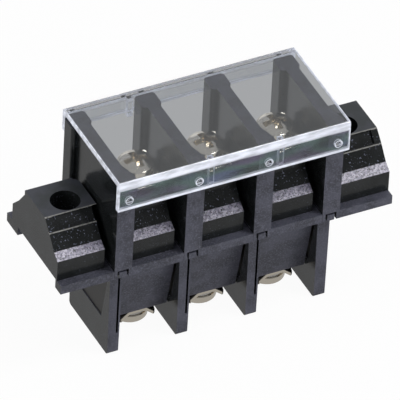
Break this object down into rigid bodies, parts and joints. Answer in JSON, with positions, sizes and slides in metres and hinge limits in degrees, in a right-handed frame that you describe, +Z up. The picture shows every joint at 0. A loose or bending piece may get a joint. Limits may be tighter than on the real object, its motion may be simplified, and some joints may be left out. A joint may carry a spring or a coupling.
{
  "type": "barrier terminal strip",
  "caption": "Panel-mount barrier terminal strip: interlocking black pole mouldings with tall barriers above, fins below, screw terminals at both ends of each pole and a clear snap cover",
  "frame": {"origin": "midway between the two mounting holes, on the underside of the flange, which is the panel's face", "axes": "+X along the strip towards the right end, +Y from the front to the back, +Z up from the panel through the barriers"},
  "size_m": [0.067, 0.0241, 0.0433],
  "materials": {
    "housing": "fine spark-eroded moulded black thermoplastic",
    "clear_cover": "clear polished moulded polycarbonate",
    "strap": "nickel-plated brass strap",
    "plated_plate": "nickel-plated pressed steel",
    "spring_steel": "plated spring steel",
    "screw": "nickel-plated steel"
  },
  "bodies": {
    "root": {"left_end": "housing", "pole_1": "housing", "pole_2": "housing", "pole_3": "housing", "right_end": "housing", "conductor_1": "strap", "conductor_2": "strap", "conductor_3": "strap"},
    "cover": {"cover": "clear_cover"},
    "top_terminal_1": {"top_clamp_plate_1": "plated_plate", "top_spring_washer_1": "spring_steel"},
    "top_screw_1": {"top_screw_1": "screw"},
    "top_terminal_2": {"top_clamp_plate_2": "plated_plate", "top_spring_washer_2": "spring_steel"},
    "top_screw_2": {"top_screw_2": "screw"},
    "top_terminal_3": {"top_clamp_plate_3": "plated_plate", "top_spring_washer_3": "spring_steel"},
    "top_screw_3": {"top_screw_3": "screw"},
    "bottom_terminal_1": {"bottom_clamp_plate_1": "plated_plate", "bottom_spring_washer_1": "spring_steel"},
    "bottom_screw_1": {"bottom_screw_1": "screw"},
    "bottom_terminal_2": {"bottom_clamp_plate_2": "plated_plate", "bottom_spring_washer_2": "spring_steel"},
    "bottom_screw_2": {"bottom_screw_2": "screw"},
    "bottom_terminal_3": {"bottom_clamp_plate_3": "plated_plate", "bottom_spring_washer_3": "spring_steel"},
    "bottom_screw_3": {"bottom_screw_3": "screw"}
  },
  "joints": [
    {"name": "cover_lift", "type": "slide", "parent": "root", "child": "cover", "axis": [0, 0, 1], "range_m": [0, 0.02]},
    {"name": "top_terminal_1_rise", "type": "slide", "parent": "root", "child": "top_terminal_1", "axis": [0, 0, 1], "range_m": [0, 0.0042]},
    {"name": "top_screw_1_turn", "type": "hinge", "parent": "top_terminal_1", "child": "top_screw_1", "pos_m": [-0.014, 0, 0.0132], "axis": [0, 0, 1], "range_deg": [0, 2161]},
    {"name": "top_terminal_2_rise", "type": "slide", "parent": "root", "child": "top_terminal_2", "axis": [0, 0, 1], "range_m": [0, 0.0042]},
    {"name": "top_screw_2_turn", "type": "hinge", "parent": "top_terminal_2", "child": "top_screw_2", "pos_m": [0, 0, 0.0132], "axis": [0, 0, 1], "range_deg": [0, 2161]},
    {"name": "top_terminal_3_rise", "type": "slide", "parent": "root", "child": "top_terminal_3", "axis": [0, 0, 1], "range_m": [0, 0.0042]},
    {"name": "top_screw_3_turn", "type": "hinge", "parent": "top_terminal_3", "child": "top_screw_3", "pos_m": [0.014, 0, 0.0132], "axis": [0, 0, 1], "range_deg": [0, 2161]},
    {"name": "bottom_terminal_1_rise", "type": "slide", "parent": "root", "child": "bottom_terminal_1", "axis": [0, 0, -1], "range_m": [0, 0.0042]},
    {"name": "bottom_screw_1_turn", "type": "hinge", "parent": "bottom_terminal_1", "child": "bottom_screw_1", "pos_m": [-0.014, 0, -0.0152], "axis": [0, 0, -1], "range_deg": [0, 2161]},
    {"name": "bottom_terminal_2_rise", "type": "slide", "parent": "root", "child": "bottom_terminal_2", "axis": [0, 0, -1], "range_m": [0, 0.0042]},
    {"name": "bottom_screw_2_turn", "type": "hinge", "parent": "bottom_terminal_2", "child": "bottom_screw_2", "pos_m": [0, 0, -0.0152], "axis": [0, 0, -1], "range_deg": [0, 2161]},
    {"name": "bottom_terminal_3_rise", "type": "slide", "parent": "root", "child": "bottom_terminal_3", "axis": [0, 0, -1], "range_m": [0, 0.0042]},
    {"name": "bottom_screw_3_turn", "type": "hinge", "parent": "bottom_terminal_3", "child": "bottom_screw_3", "pos_m": [0.014, 0, -0.0152], "axis": [0, 0, -1], "range_deg": [0, 2161]}
  ],
  "couplings": [
    {"joint": "top_screw_1_turn", "follows": "top_terminal_1_rise", "rad_per_m": 8976},
    {"joint": "top_screw_2_turn", "follows": "top_terminal_2_rise", "rad_per_m": 8976},
    {"joint": "top_screw_3_turn", "follows": "top_terminal_3_rise", "rad_per_m": 8976},
    {"joint": "bottom_screw_1_turn", "follows": "bottom_terminal_1_rise", "rad_per_m": 8976},
    {"joint": "bottom_screw_2_turn", "follows": "bottom_terminal_2_rise", "rad_per_m": 8976},
    {"joint": "bottom_screw_3_turn", "follows": "bottom_terminal_3_rise", "rad_per_m": 8976}
  ]
}
